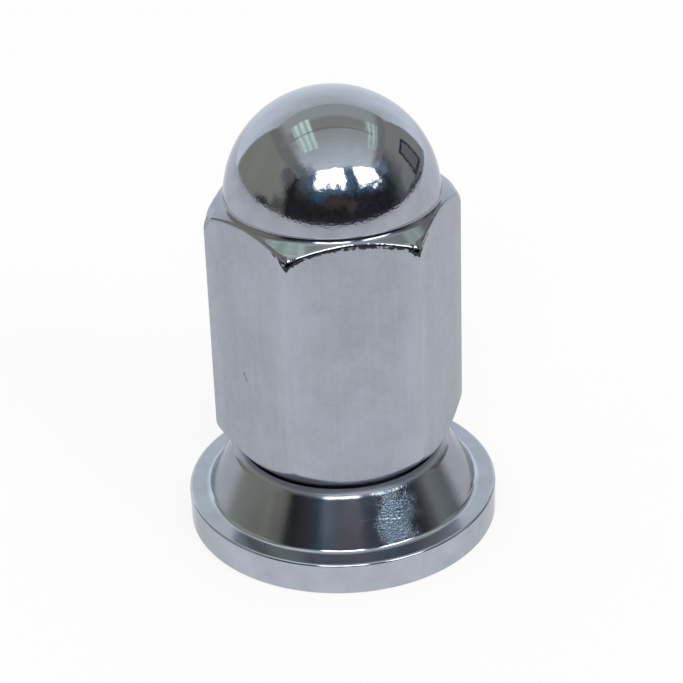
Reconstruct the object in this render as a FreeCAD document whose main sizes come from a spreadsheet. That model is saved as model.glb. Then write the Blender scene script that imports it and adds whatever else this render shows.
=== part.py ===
"""Closed-end lug nut with a captive cone washer, in millimetres.

The nut is turned from hexagon bar: a polished dome, chamfered and tapered flats,
and a short shank that passes through the washer and is swaged over inside a
counterbore, so that the washer turns freely and can't come off.
Z is the axis of the stud, and z = 0 is the washer's bearing face on the wheel.
"""
import FreeCAD, Part
import math
import os
import Sketcher

doc = FreeCAD.newDocument("LugNut")
sheet = doc.addObject("Spreadsheet::Sheet", "Sizes")

# Driving dimensions

SIZES = {
    # hexagon bar
    "across_flats": 21.0,
    "corner_rounding": 0.25,
    "bar_allowance": 1.0,
    # nut, outside
    "overall_height": 44.65,
    "dome_radius": 10.1,
    "neck_fillet": 0.6,
    "flats_top": 34.2,
    "top_chamfer_angle": 32.5,
    "flats_bottom": 9.5,
    "seat_taper_angle": 45.0,
    "taper_blend": 1.5,
    # nut, shank and swaged lip
    "shank_lift": 0.3,
    "shank_diameter": 16.4,
    "lip_overhang": 0.8,
    "lip_chamfer": 0.25,
    # nut, threaded hole
    "thread_diameter": 12.0,
    "thread_pitch": 1.5,
    "iso_minor_factor": 1.0825,
    "bore_depth": 32.0,
    "drill_point_angle": 118.0,
    "entry_diameter": 12.6,
    # washer, outside
    "flange_diameter": 30.1,
    "flange_thickness": 3.3,
    "flange_edge_chamfer": 0.25,
    "washer_height": 8.38,
    "ledge_width": 1.95,
    "rim_width": 0.55,
    "cone_foot_fillet": 0.4,
    "cone_top_chamfer": 0.45,
    # washer, inside
    "counterbore_depth": 1.9,
    "counterbore_chamfer": 0.15,
    # fits between the two pieces
    "running_clearance": 0.08,
    "seat_clearance": 0.38,
    "lip_clearance": 0.3,
    "end_play": 0.25,
}

# Sizes that follow from the driving ones

DERIVED = {
    "half_flats": "=across_flats / 2",
    "corner_radius": "=across_flats / sqrt(3)",
    "bar_length": "=overall_height - shank_lift + bar_allowance",
    "clear_radius": "=corner_radius + bar_allowance",
    "clear_top": "=overall_height + 2 * bar_allowance",
    "dome_centre": "=overall_height - dome_radius",
    "chamfer_low": "=flats_top - (clear_radius - half_flats) * tan(top_chamfer_angle * 1deg)",
    "shank_radius": "=shank_diameter / 2",
    "lip_radius": "=shank_radius + lip_overhang",
    "lip_top": "=counterbore_depth - end_play",
    "taper_foot": "=flats_bottom - (half_flats - shank_radius) / tan(seat_taper_angle * 1deg)",
    "minor_radius": "=(thread_diameter - iso_minor_factor * thread_pitch) / 2",
    "entry_radius": "=entry_diameter / 2",
    "entry_top": "=shank_lift + entry_radius - minor_radius",
    "bore_top": "=shank_lift + bore_depth",
    "drill_tip": "=bore_top + minor_radius / tan(drill_point_angle / 2 * 1deg)",
    "flange_radius": "=flange_diameter / 2",
    "cone_foot_radius": "=flange_radius - ledge_width",
    "counterbore_radius": "=lip_radius + lip_clearance",
    "washer_bore_radius": "=shank_radius + running_clearance",
    "seat_radius": "=half_flats - (flats_bottom - washer_height) * tan(seat_taper_angle * 1deg)"
                   " + seat_clearance",
    "seat_foot": "=washer_height - (seat_radius - washer_bore_radius) / tan(seat_taper_angle * 1deg)",
    "cone_top_radius": "=seat_radius + rim_width",
}

for row, (alias, content) in enumerate({**SIZES, **DERIVED}.items(), start=1):
    sheet.set(f"A{row}", alias)
    sheet.set(f"B{row}", str(content))
    sheet.setAlias(f"B{row}", alias)
doc.recompute()

# Names for a sketch's points and axes, and limits for comparing places and volumes

START, END, CENTRE = range(1, 4)
V_AXIS, H_AXIS = range(-2, 0)
ORIGIN = H_AXIS
UP = FreeCAD.Vector(0, 0, 1)
SAME_PLACE = 1e-4
LEAST_CHANGE = 1.0
ON_AXIS = "on the axis"
ON_BASE = "on the bearing face's plane"


def size(name):
    """Value of one cell of the sheet, or zero for a place on an axis."""
    if name in (ON_AXIS, ON_BASE):
        return 0.0
    return float(sheet.get(name))


def new_sketch(body, name, role):
    """Sketch on one of the body's own origin planes."""
    planes = [feature for feature in body.Origin.OriginFeatures if feature.Role == role]
    sketch = body.newObject("Sketcher::SketchObject", name)
    sketch.AttachmentSupport = [(planes[0], "")]
    sketch.MapMode = "FlatFace"
    return sketch


def bind(sketch, name, alias, kind, *where):
    """Adds a sized constraint, names it and ties its value to a cell."""
    index = sketch.addConstraint(Sketcher.Constraint(kind, *where, size(alias)))
    sketch.renameConstraint(index, name)
    sketch.setExpression(f"Constraints.{name}", f"Sizes.{alias}")


def place(sketch, name, curve, point, radius, height):
    """Ties one end of a curve to a radius and a height."""
    if radius == ON_AXIS:
        sketch.addConstraint(Sketcher.Constraint("PointOnObject", curve, point, V_AXIS))
    else:
        bind(sketch, f"{name}_radius", radius, "DistanceX", ORIGIN, START, curve, point)
    if height == ON_BASE:
        sketch.addConstraint(Sketcher.Constraint("PointOnObject", curve, point, H_AXIS))
    else:
        bind(sketch, f"{name}_height", height, "DistanceY", ORIGIN, START, curve, point)


def add_lines(sketch, points):
    """Lines from point to point, joined end to end."""
    lines = []
    for near, far in zip(points, points[1:]):
        segment = Part.LineSegment(FreeCAD.Vector(*near, 0), FreeCAD.Vector(*far, 0))
        lines.append(sketch.addGeometry(segment, False))
    for first, second in zip(lines, lines[1:]):
        sketch.addConstraint(Sketcher.Constraint("Coincident", first, END, second, START))
    return lines


def add_arc(sketch, centre, radius, first_degrees, last_degrees):
    """Anticlockwise arc."""
    circle = Part.Circle(FreeCAD.Vector(*centre, 0), UP, radius)
    arc = Part.ArcOfCircle(circle, math.radians(first_degrees), math.radians(last_degrees))
    return sketch.addGeometry(arc, False)


def closed_profile(body, name, corners):
    """Closed half section whose corners are each tied to a radius and a height."""
    sketch = new_sketch(body, name, "XZ_Plane")
    points = [(size(radius), size(height)) for radius, height in corners]
    lines = add_lines(sketch, points + points[:1])
    sketch.addConstraint(Sketcher.Constraint("Coincident", lines[-1], END, lines[0], START))
    for number, (line, corner) in enumerate(zip(lines, corners), start=1):
        place(sketch, f"corner{number}", line, START, *corner)
    return sketch


def turn(body, kind, name, sketch):
    """Full turn of a half section about Z, which adds (Revolution) or cuts (Groove)."""
    before = body.Shape.Volume if body.Tip else 0.0
    feature = body.newObject(f"PartDesign::{kind}", name)
    feature.Profile = sketch
    feature.ReferenceAxis = (sketch, ["V_Axis"])
    feature.Angle = 360.0
    doc.recompute()
    if abs(body.Shape.Volume - before) < LEAST_CHANGE:
        raise RuntimeError(f"{name} changes nothing")


def ring_edges(shape, radius, height):
    """Names of the circular edges about Z with this radius and height."""
    names = []
    for number, edge in enumerate(shape.Edges, start=1):
        if edge.Degenerated or not isinstance(edge.Curve, Part.Circle):
            continue
        curve = edge.Curve
        on_axis = math.hypot(curve.Center.x, curve.Center.y) < SAME_PLACE
        fits = max(abs(curve.Radius - radius), abs(curve.Center.z - height)) < SAME_PLACE
        if on_axis and fits:
            names.append(f"Edge{number}")
    return names


def soften(body, kind, name, alias, radius, height):
    """Fillet or chamfer on the ring at this radius and height."""
    base = body.Tip
    edges = ring_edges(base.Shape, size(radius), size(height))
    if not edges:
        raise RuntimeError(f"{name} finds no edge")
    feature = body.newObject(f"PartDesign::{kind}", name)
    feature.Base = (base, edges)
    dimension = "Radius" if kind == "Fillet" else "Size"
    setattr(feature, dimension, size(alias))
    feature.setExpression(dimension, f"Sizes.{alias}")
    doc.recompute()


# Nut


def hexagon_bar(body):
    """Hexagon bar with its corners on the X axis, rounded as the drawing die leaves them."""
    sketch = new_sketch(body, "BarSection", "XY_Plane")
    sketch.setExpression("AttachmentOffset.Base.z", "Sizes.shank_lift")
    reach = size("corner_radius")
    angles = [math.radians(60 * step) for step in range(7)]
    sides = add_lines(sketch, [(reach * math.cos(turned), reach * math.sin(turned)) for turned in angles])
    sketch.addConstraint(Sketcher.Constraint("Coincident", sides[-1], END, sides[0], START))
    circle = sketch.addGeometry(Part.Circle(FreeCAD.Vector(0, 0, 0), UP, reach), True)
    sketch.addConstraint(Sketcher.Constraint("Coincident", circle, CENTRE, ORIGIN, START))
    bind(sketch, "corner_circle", "corner_radius", "Radius", circle)
    for side in sides:
        sketch.addConstraint(Sketcher.Constraint("PointOnObject", side, START, circle))
    for side in sides[1:]:
        sketch.addConstraint(Sketcher.Constraint("Equal", sides[0], side))
    sketch.addConstraint(Sketcher.Constraint("PointOnObject", sides[0], START, H_AXIS))

    bar = body.newObject("PartDesign::Pad", "HexagonBar")
    bar.Profile = sketch
    bar.setExpression("Length", "Sizes.bar_length")
    doc.recompute()

    upright = []
    for number, edge in enumerate(bar.Shape.Edges, start=1):
        if abs(edge.BoundBox.ZLength - size("bar_length")) < SAME_PLACE:
            upright.append(f"Edge{number}")
    corners = body.newObject("PartDesign::Fillet", "BarCorners")
    corners.Base = (bar, upright)
    corners.Radius = size("corner_rounding")
    corners.setExpression("Radius", "Sizes.corner_rounding")
    doc.recompute()


def turned_top(body):
    """Cut that leaves the dome, the fillet round its foot and the chamfer on the flats."""
    sketch = new_sketch(body, "TopProfile", "XZ_Plane")
    dome_radius = size("dome_radius")
    fillet_radius = size("neck_fillet")
    chamfer_angle = size("top_chamfer_angle")
    slope = math.radians(chamfer_angle)
    fillet_x = dome_radius + fillet_radius
    fillet_y = (size("flats_top") - (fillet_x - size("half_flats")) * math.tan(slope)
                + fillet_radius / math.cos(slope))
    foot = (fillet_x - fillet_radius * math.sin(slope), fillet_y - fillet_radius * math.cos(slope))

    dome = add_arc(sketch, (0, size("dome_centre")), dome_radius, 1, 90)
    fillet = add_arc(sketch, (fillet_x, fillet_y), fillet_radius, 180, 270 - chamfer_angle)
    chamfer, outside, ceiling, axis = add_lines(sketch, [
        foot,
        (size("clear_radius"), size("chamfer_low")),
        (size("clear_radius"), size("clear_top")),
        (0, size("clear_top")),
        (0, size("overall_height")),
    ])
    bind(sketch, "dome", "dome_radius", "Radius", dome)
    bind(sketch, "neck", "neck_fillet", "Radius", fillet)
    place(sketch, "dome_centre", dome, CENTRE, ON_AXIS, "dome_centre")
    place(sketch, "chamfer_end", outside, START, "clear_radius", "chamfer_low")
    place(sketch, "clear_corner", ceiling, START, "clear_radius", "clear_top")
    place(sketch, "clear_axis", axis, START, ON_AXIS, "clear_top")
    sketch.addConstraint(Sketcher.Constraint("PointOnObject", dome, END, V_AXIS))
    sketch.addConstraint(Sketcher.Constraint("Coincident", axis, END, dome, END))
    sketch.addConstraint(Sketcher.Constraint("Tangent", dome, START, fillet, START))
    sketch.addConstraint(Sketcher.Constraint("Tangent", fillet, END, chamfer, START))
    middle = sketch.addGeometry(Part.Point(FreeCAD.Vector(size("half_flats"), size("flats_top"), 0)), True)
    place(sketch, "flat_middle", middle, START, "half_flats", "flats_top")
    sketch.addConstraint(Sketcher.Constraint("PointOnObject", middle, START, chamfer))
    turn(body, "Groove", "TurnedTop", sketch)


def turned_shank(body):
    """Cut that leaves the tapered seat below the flats, the shank and the swaged lip."""
    sketch = new_sketch(body, "ShankProfile", "XZ_Plane")
    blend_radius = size("taper_blend")
    taper_angle = size("seat_taper_angle")
    lean = math.radians(taper_angle)
    reach = size("corner_radius")
    blend_x = reach - blend_radius
    taper_end_x = blend_x + blend_radius * math.cos(lean)
    taper_end_y = size("flats_bottom") + (taper_end_x - size("half_flats")) / math.tan(lean)
    blend_y = taper_end_y + blend_radius * math.sin(lean)

    blend = add_arc(sketch, (blend_x, blend_y), blend_radius, -taper_angle, 0)
    taper, shank, lip_top, lip_side, floor, outside, shelf = add_lines(sketch, [
        (taper_end_x, taper_end_y),
        (size("shank_radius"), size("taper_foot")),
        (size("shank_radius"), size("lip_top")),
        (size("lip_radius"), size("lip_top")),
        (size("lip_radius"), 0),
        (size("clear_radius"), 0),
        (size("clear_radius"), blend_y),
        (reach, blend_y),
    ])
    bind(sketch, "blend", "taper_blend", "Radius", blend)
    bind(sketch, "blend_reach", "corner_radius", "DistanceX", ORIGIN, START, blend, END)
    place(sketch, "taper_foot", shank, START, "shank_radius", "taper_foot")
    place(sketch, "lip_root", lip_top, START, "shank_radius", "lip_top")
    place(sketch, "lip_corner", lip_side, START, "lip_radius", "lip_top")
    place(sketch, "lip_base", floor, START, "lip_radius", ON_BASE)
    place(sketch, "clear_base", outside, START, "clear_radius", ON_BASE)
    bind(sketch, "shelf_end", "clear_radius", "DistanceX", ORIGIN, START, shelf, START)
    sketch.addConstraint(Sketcher.Constraint("Horizontal", shelf))
    sketch.addConstraint(Sketcher.Constraint("Coincident", shelf, END, blend, END))
    sketch.addConstraint(Sketcher.Constraint("Horizontal", blend, CENTRE, blend, END))
    sketch.addConstraint(Sketcher.Constraint("Tangent", blend, START, taper, START))
    middle = sketch.addGeometry(Part.Point(FreeCAD.Vector(size("half_flats"), size("flats_bottom"), 0)), True)
    place(sketch, "flat_middle", middle, START, "half_flats", "flats_bottom")
    sketch.addConstraint(Sketcher.Constraint("PointOnObject", middle, START, taper))
    turn(body, "Groove", "TurnedShank", sketch)


def threaded_hole(body):
    """Blind hole at the thread's minor diameter, with a drill point and a chamfered entry."""
    sketch = closed_profile(body, "HoleProfile", [
        (ON_AXIS, ON_BASE),
        ("entry_radius", ON_BASE),
        ("entry_radius", "shank_lift"),
        ("minor_radius", "entry_top"),
        ("minor_radius", "bore_top"),
        (ON_AXIS, "drill_tip"),
    ])
    turn(body, "Groove", "ThreadedHole", sketch)


def make_nut():
    """One-piece nut with the dome, the hexagon, the seat taper and the swaged shank."""
    body = doc.addObject("PartDesign::Body", "Nut")
    body.Label = "nut_body"
    hexagon_bar(body)
    turned_top(body)
    turned_shank(body)
    threaded_hole(body)
    soften(body, "Chamfer", "LipEdge", "lip_chamfer", "lip_radius", "shank_lift")
    return body


# Washer


def make_washer():
    """Turned flange with a cone that rises to the nut's taper, and the lip's counterbore below."""
    body = doc.addObject("PartDesign::Body", "Washer")
    body.Label = "cone_washer"
    section = closed_profile(body, "WasherSection", [
        ("counterbore_radius", ON_BASE),
        ("flange_radius", ON_BASE),
        ("flange_radius", "flange_thickness"),
        ("cone_foot_radius", "flange_thickness"),
        ("cone_top_radius", "washer_height"),
        ("seat_radius", "washer_height"),
        ("washer_bore_radius", "seat_foot"),
        ("washer_bore_radius", "counterbore_depth"),
        ("counterbore_radius", "counterbore_depth"),
    ])
    turn(body, "Revolution", "TurnedWasher", section)
    soften(body, "Fillet", "ConeFoot", "cone_foot_fillet", "cone_foot_radius", "flange_thickness")
    soften(body, "Chamfer", "ConeTop", "cone_top_chamfer", "cone_top_radius", "washer_height")
    soften(body, "Chamfer", "FlangeUpperEdge", "flange_edge_chamfer", "flange_radius", "flange_thickness")
    soften(body, "Chamfer", "FlangeLowerEdge", "flange_edge_chamfer", "flange_radius", ON_BASE)
    soften(body, "Chamfer", "CounterboreEdge", "counterbore_chamfer", "counterbore_radius", ON_BASE)
    return body


def check(bodies):
    """Stops before anything is written if a feature failed or a solid isn't sound."""
    doc.recompute()
    for item in doc.Objects:
        if "Invalid" in item.State or "Error" in item.State:
            raise RuntimeError(f"{item.Label} failed: {item.State}")
    for body in bodies:
        shape = body.Shape
        if shape.isNull() or not shape.isValid() or len(shape.Solids) != 1:
            raise RuntimeError(f"{body.Label} isn't one valid solid")


sub_parts = [make_nut(), make_washer()]
check(sub_parts)
os.makedirs("parts", exist_ok=True)
for sub_part in sub_parts:
    sub_part.Shape.exportStep(os.path.join("parts", f"{sub_part.Label}.step"))
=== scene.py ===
"""Looks of the closed-end lug nut with its captive cone washer.

Sizes are in millimetres and repeat the part's own, so that every new surface lies on
the solid that it stands for. Blender's lengths are metres, made with MM.
"""
import math

import bpy
import numpy as np
from mathutils import Matrix, Vector


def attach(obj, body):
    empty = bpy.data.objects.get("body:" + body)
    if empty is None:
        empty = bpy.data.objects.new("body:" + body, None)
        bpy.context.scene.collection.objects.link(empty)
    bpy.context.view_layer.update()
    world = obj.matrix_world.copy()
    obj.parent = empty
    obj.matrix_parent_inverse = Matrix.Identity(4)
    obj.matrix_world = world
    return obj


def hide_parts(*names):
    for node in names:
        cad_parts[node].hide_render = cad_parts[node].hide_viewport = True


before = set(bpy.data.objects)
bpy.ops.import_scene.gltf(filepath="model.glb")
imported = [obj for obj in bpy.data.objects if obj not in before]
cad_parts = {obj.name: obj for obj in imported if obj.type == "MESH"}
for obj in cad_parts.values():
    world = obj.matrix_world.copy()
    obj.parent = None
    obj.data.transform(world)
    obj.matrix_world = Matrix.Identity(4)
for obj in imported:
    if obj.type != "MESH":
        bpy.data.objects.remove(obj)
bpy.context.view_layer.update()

MM = 0.001
TINY = 1e-9

# Directions in the half plane through the axis, and the turn between two flats

OUT, UP, IN, DOWN = 0.0, math.pi / 2, math.pi, -math.pi / 2
SECTOR = math.radians(60)

# The nut's sizes

HALF_FLATS = 10.5
CORNER_ROUNDING = 0.25
CORNER_RADIUS = HALF_FLATS / math.cos(SECTOR / 2)
DOME_RADIUS = 10.1
DOME_CENTRE = 34.55
NECK_FILLET = 0.75
FLATS_TOP = 34.2
CHAMFER_ANGLE = math.radians(32.5)
FLATS_BOTTOM = 9.5
TAPER_ANGLE = math.radians(45)
TAPER_BLEND = 1.5
SHANK_RADIUS = 8.2
SHANK_LOW = 0.3
LIP_RADIUS = 9.0
LIP_TOP = 1.65
ENTRY_RADIUS = 6.3
ENTRY_ANGLE = math.radians(45)
MINOR_RADIUS = 5.188
MAJOR_RADIUS = 6.0
THREAD_PITCH = 1.5
THREAD_FLANK = 5 / 16
THREAD_ROOT = 1 / 8
BORE_TOP = 32.3
DRILL_POINT_HALF_ANGLE = math.radians(59)

# The washer's sizes

FLANGE_RADIUS = 15.045
FLANGE_THICKNESS = 3.3
CONE_FOOT = 13.1
CONE_TOP = 10.31
WASHER_HEIGHT = 8.38
SEAT_RADIUS = 9.76
BORE_RADIUS = 8.28
COUNTERBORE_RADIUS = 9.3
COUNTERBORE_DEPTH = 1.9

# Rounded edges, which the solids have as sharp edges or small chamfers

CHAMFER_EDGE = 0.5
CHAMFER_EDGE_WAVES = 0.05
CORNER_WEAR = 0.9
SIDE_CORNER_WEAR = 1.9
CORNER_WEAR_SPREAD = 3.5
TAPER_EDGE = 0.5
TAPER_CORNER_EDGE = 0.6
LIP_EDGE = 0.2
SMALL_EDGE = 0.1
FLANGE_EDGE = 0.28
FLANGE_FOOT_EDGE = 0.25
CONE_FOOT_FILLET = 0.55
CONE_TOP_EDGE = 1.35
RIM_SHINE = math.radians(42)

# In the photo the chamfer stands this much higher than the solid's

CHAMFER_RISE = 0.33

# The painted shade along the flats' top edge, a dark band with a ragged limit. On the rounded edge
# it starts at a tilt in degrees and grows over some more. Below, its shares stand in steps down the
# flats. It is full where the sine of the angle round the axis is past the second limit, and least
# on the sides, before the first.

EDGE_SHADE_START = 72
EDGE_SHADE_START_AT_TIP = -12
EDGE_SHADE_FADE = 8
EDGE_SHADE_STEP = 0.14
EDGE_SHADE_SHARES = (0.8, 0.35, 0)
TIP_SPREAD = 3
TIP_SHADE = 0.2
EDGE_SHADE_LIMITS = (0.6, 0.84)
LEAST_AND_FULL = (0.15, 1)

# How finely the surfaces are divided

FLAT_STEPS = 110
CORNER_STEPS = 10
DOME_STEPS = 56
FILLET_STEPS = 12
CHAMFER_EDGE_STEPS = 14
LARGE_EDGE_STEPS = 8
EDGE_STEPS = 6
LIP_STEPS = 5
SMALL_STEPS = 4
TAPER_STEPS = 10
THREAD_STEPS = 250
HOLE_COLUMNS = 120
WASHER_COLUMNS = 288


# Surfaces made of rows that go round the axis


def hexagon_angles():
    """Angles round the axis: even steps along each flat, and fine steps round each corner."""
    inner = HALF_FLATS - CORNER_ROUNDING
    reach = inner * math.tan(SECTOR / 2) / HALF_FLATS
    flat_end = math.atan(reach)
    along = np.arctan(np.linspace(-reach, reach, FLAT_STEPS + 1))
    round_corner = np.linspace(flat_end, SECTOR - flat_end, CORNER_STEPS + 1)[1:-1]
    side = np.concatenate([along, round_corner])
    return np.concatenate([side + SECTOR / 2 + SECTOR * number for number in range(6)])


def even_angles(steps):
    return np.linspace(0, 2 * math.pi, steps, endpoint=False)


def hexagon_radius(angles):
    """Distance from the axis to the bar's side, with flats square to the Y axis."""
    from_flat = np.abs(angles % SECTOR - SECTOR / 2)
    inner = HALF_FLATS - CORNER_ROUNDING
    rounding_centre = inner / math.cos(SECTOR / 2)
    from_corner = SECTOR / 2 - from_flat
    flat = HALF_FLATS / np.cos(from_flat)
    inside = np.maximum(CORNER_ROUNDING**2 - (rounding_centre * np.sin(from_corner)) ** 2, 0)
    rounded = rounding_centre * np.cos(from_corner) + np.sqrt(inside)
    on_flat = HALF_FLATS * np.tan(from_flat) <= inner * math.tan(SECTOR / 2)
    return np.where(on_flat, flat, rounded)


class Rows:
    """A surface round the Z axis, as rows of points from its first edge to its last.

    Each row has the same angles. A point is kept with the direction in which the surface
    runs there, seen in the half plane through the axis, which gives its exact normal.
    """

    def __init__(self, angles):
        self.angles = angles
        self.radii = []
        self.heights = []
        self.runs = []
        self.edge_shading = []
        self.finishes = []

    def add(self, radius, height, run, finish, edge_shading=0):
        """One row. The strip that starts here gets the finish."""
        ones = np.ones_like(self.angles)
        self.edge_shading.append(edge_shading * ones)
        self.radii.append(radius * ones)
        self.heights.append(height * ones)
        self.runs.append((run[0] * ones, run[1] * ones))
        self.finishes.append(finish)

    def arc(self, centre, radius, start, end, steps, finish, edge_shading=None):
        """Rows on an arc. Start and end are the directions of the surface, in radians.

        The painted edge shade, if any, follows from the direction.
        """
        side = np.sign(end - start)
        for step in range(steps + 1):
            turn = start + (end - start) * step / steps
            run = (np.cos(turn), np.sin(turn))
            self.add(
                centre[0] + side * radius * run[1],
                centre[1] - side * radius * run[0],
                run,
                finish,
                edge_shading(turn) if edge_shading else 0,
            )

    def corner(self, corner, before, after, radius, steps, finish):
        """Rows round a corner, from the straight run before it to the one after it."""
        turn = after - before
        back = radius * np.tan(np.abs(turn) / 2)
        side = np.sign(turn)
        start = (corner[0] - back * np.cos(before), corner[1] - back * np.sin(before))
        centre = (
            start[0] - side * radius * np.sin(before),
            start[1] + side * radius * np.cos(before),
        )
        self.arc(centre, radius, before, after, steps, finish)

    def build(self, name, finishes, closed=False, measured=False):
        """The mesh object, with exact normals, or measured ones for a surface that steps."""
        radii = np.array(self.radii)
        heights = np.array(self.heights)
        cos = np.cos(self.angles)
        sin = np.sin(self.angles)
        points = np.stack([radii * cos, radii * sin, heights], axis=-1) * MM
        run_out = np.array([run[0] for run in self.runs])
        run_up = np.array([run[1] for run in self.runs])
        along = np.stack([run_out * cos, run_out * sin, run_up], axis=-1)
        if measured:
            along = np.gradient(points, axis=0)
            along /= np.maximum(np.linalg.norm(along, axis=-1, keepdims=True), TINY)
        normals = np.cross(along, self.around(points))
        plain = np.stack([-run_up * cos, -run_up * sin, run_out], axis=-1)
        length = np.linalg.norm(normals, axis=-1, keepdims=True)
        normals = np.where(length > TINY, normals / np.maximum(length, TINY), plain)
        normals = normals * np.sign(np.sum(normals * plain, axis=-1, keepdims=True))
        return make_mesh(name, points, normals, np.array(self.edge_shading), self.finishes, finishes, closed)

    def around(self, points):
        """Direction of each row at each of its points, for steps of any size."""
        ahead = np.roll(points, -1, axis=1) - points
        behind = points - np.roll(points, 1, axis=1)
        step = (np.roll(self.angles, -1) - self.angles) % (2 * math.pi)
        last = np.roll(step, 1)
        share = (last / (step + last))[None, :, None]
        return ahead / step[None, :, None] * share + behind / last[None, :, None] * (1 - share)


def make_mesh(name, points, normals, edge_shading, strips, finishes, closed):
    """A mesh from rows of points, with one point where a row is the axis itself."""
    rows, columns = points.shape[:2]
    on_axis = np.hypot(points[..., 0], points[..., 1]).max(axis=1) < TINY
    numbers, vertices, vertex_normals, edge_shade = [], [], [], []
    for row in range(rows):
        first = len(vertices)
        count = 1 if on_axis[row] else columns
        vertices.extend(points[row, :count].tolist())
        edge_shade.extend(edge_shading[row, :count].tolist())
        if on_axis[row]:
            vertex_normals.append((0.0, 0.0, float(np.sign(normals[row, 0, 2]))))
        else:
            vertex_normals.extend(normals[row].tolist())
        numbers.append([first + min(column, count - 1) for column in range(columns)])
    if closed:
        numbers.append(numbers[0])
    faces, marks = [], []
    for row in range(len(numbers) - 1):
        upper, lower = numbers[row], numbers[row + 1]
        for column in range(columns):
            after = (column + 1) % columns
            corners = (upper[column], lower[column], lower[after], upper[after])
            faces.append(tuple(dict.fromkeys(corners)))
            marks.append(strips[row])
    mesh = bpy.data.meshes.new(name)
    mesh.from_pydata(vertices, [], faces)
    mesh.polygons.foreach_set("use_smooth", [True] * len(faces))
    order = {finish: number for number, finish in enumerate(finishes)}
    mesh.polygons.foreach_set("material_index", [order[mark] for mark in marks])
    for material in finishes.values():
        mesh.materials.append(material)
    mesh.update()
    # Shares of the painted shade along the flats' top edge, which the finishes read
    mesh.attributes.new("edge_shade", "FLOAT", "POINT").data.foreach_set("value", edge_shade)
    mesh.normals_split_custom_set_from_vertices(vertex_normals)
    return linked(name, mesh)


def linked(name, data):
    """A new object in the scene."""
    thing = bpy.data.objects.new(name, data)
    bpy.context.scene.collection.objects.link(thing)
    return thing


# Shader nodes


def new_material(name):
    material = bpy.data.materials.new(name)
    material.use_nodes = True
    tree = material.node_tree
    tree.nodes.clear()
    return material, tree


def feed(tree, socket, value):
    """A link into a socket, or a value set on it."""
    if isinstance(value, bpy.types.NodeSocket):
        tree.links.new(value, socket)
    else:
        socket.default_value = value


def add_node(tree, kind, settings=(), **inputs):
    """A node. Settings are its own options, and inputs are values or links."""
    made = tree.nodes.new(kind)
    for key, value in dict(settings).items():
        setattr(made, key, value)
    for key, value in inputs.items():
        feed(tree, made.inputs[key.replace("_", " ")], value)
    return made


RISE = (0, 1)
FALL = (1, 0)


def ranged(tree, value, spread, result=RISE):
    """The value carried from one range to another, and kept within it."""
    made = add_node(tree, "ShaderNodeMapRange", Value=value)
    made.inputs["From Min"].default_value = spread[0]
    made.inputs["From Max"].default_value = spread[1]
    made.inputs["To Min"].default_value = result[0]
    made.inputs["To Max"].default_value = result[1]
    return made.outputs["Result"]


def noise(tree, place, scale, detail, stretch=(1, 1, 1)):
    """Noise in the object's own space. Scale is in features for each metre."""
    mapping = add_node(tree, "ShaderNodeMapping", Vector=place, Scale=stretch)
    made = add_node(tree, "ShaderNodeTexNoise", Vector=mapping.outputs["Vector"], Scale=scale, Detail=detail)
    return made.outputs["Fac"]


# The Mix node's colour sockets: its two inputs and its output

FIRST_COLOUR, SECOND_COLOUR, MIXED_COLOUR = 6, 7, 2


def mixed(tree, share, first, second):
    """Two colours mixed, each of them a value or a link."""
    made = add_node(tree, "ShaderNodeMix", {"data_type": "RGBA"}, Factor=share)
    for number, colour in ((FIRST_COLOUR, first), (SECOND_COLOUR, second)):
        is_link = isinstance(colour, bpy.types.NodeSocket)
        feed(tree, made.inputs[number], colour if is_link else (*colour, 1))
    return made.outputs[MIXED_COLOUR]


def calculated(tree, operation, *values):
    """A sum on numbers, each of them a value or a link."""
    made = add_node(tree, "ShaderNodeMath", {"operation": operation})
    for number, value in enumerate(values):
        feed(tree, made.inputs[number], value)
    return made.outputs["Value"]


def added(tree, first, second):
    return calculated(tree, "ADD", first, second)


def times(tree, first, second):
    return calculated(tree, "MULTIPLY", first, second)


def combined(tree, operation, *vectors, output="Vector"):
    """A sum on vectors, each of them a value or a link."""
    made = add_node(tree, "ShaderNodeVectorMath", {"operation": operation})
    for number, vector in enumerate(vectors):
        feed(tree, made.inputs[number], vector)
    return made.outputs[output]


def object_place(tree):
    return add_node(tree, "ShaderNodeTexCoord").outputs["Object"]


def coordinate(tree, place, axis):
    return add_node(tree, "ShaderNodeSeparateXYZ", Vector=place).outputs[axis]


def axis_distance(tree, place):
    """Distance from the nut's axis."""
    flat = combined(tree, "MULTIPLY", place, (1, 1, 0))
    return combined(tree, "LENGTH", flat, output="Value")


# Most noise lies in this range, and most clouds in the second one

SPREAD = (0.3, 0.7)
CLOUD_SPREAD = (0.35, 0.7)

PATCH_LIMIT = (0.6, 1.1)


def within(tree, place, centre, reach, ragged, scale):
    """1 inside an ellipsoid and 0 outside, with a soft and ragged limit."""
    offset = combined(tree, "SUBTRACT", place, centre)
    share = combined(tree, "DIVIDE", offset, reach)
    uneven = ranged(tree, noise(tree, place, scale, detail=3), SPREAD, (-ragged, ragged))
    away = added(tree, combined(tree, "LENGTH", share, output="Value"), uneven)
    return ranged(tree, away, PATCH_LIMIT, FALL)


def scratch(tree, place, start, end, width):
    """A thin straight mark between two places, which are in millimetres like its width."""
    first = Vector(start) * MM
    along = Vector(end) * MM - first
    offset = combined(tree, "SUBTRACT", place, first)
    share = combined(tree, "DOT_PRODUCT", offset, along / along.length_squared, output="Value")
    reached = combined(tree, "MULTIPLY", ranged(tree, share, RISE), along)
    apart = combined(tree, "SUBTRACT", offset, reached)
    distance = combined(tree, "LENGTH", apart, output="Value")
    return ranged(tree, distance, (width * MM / 2, width * MM), FALL)


# Chrome finishes

CHROME = (0.39, 0.414, 0.462)
CLOUDY = 0.82
EDGE_TINT = (0.8, 0.8, 0.8, 1)
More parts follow.
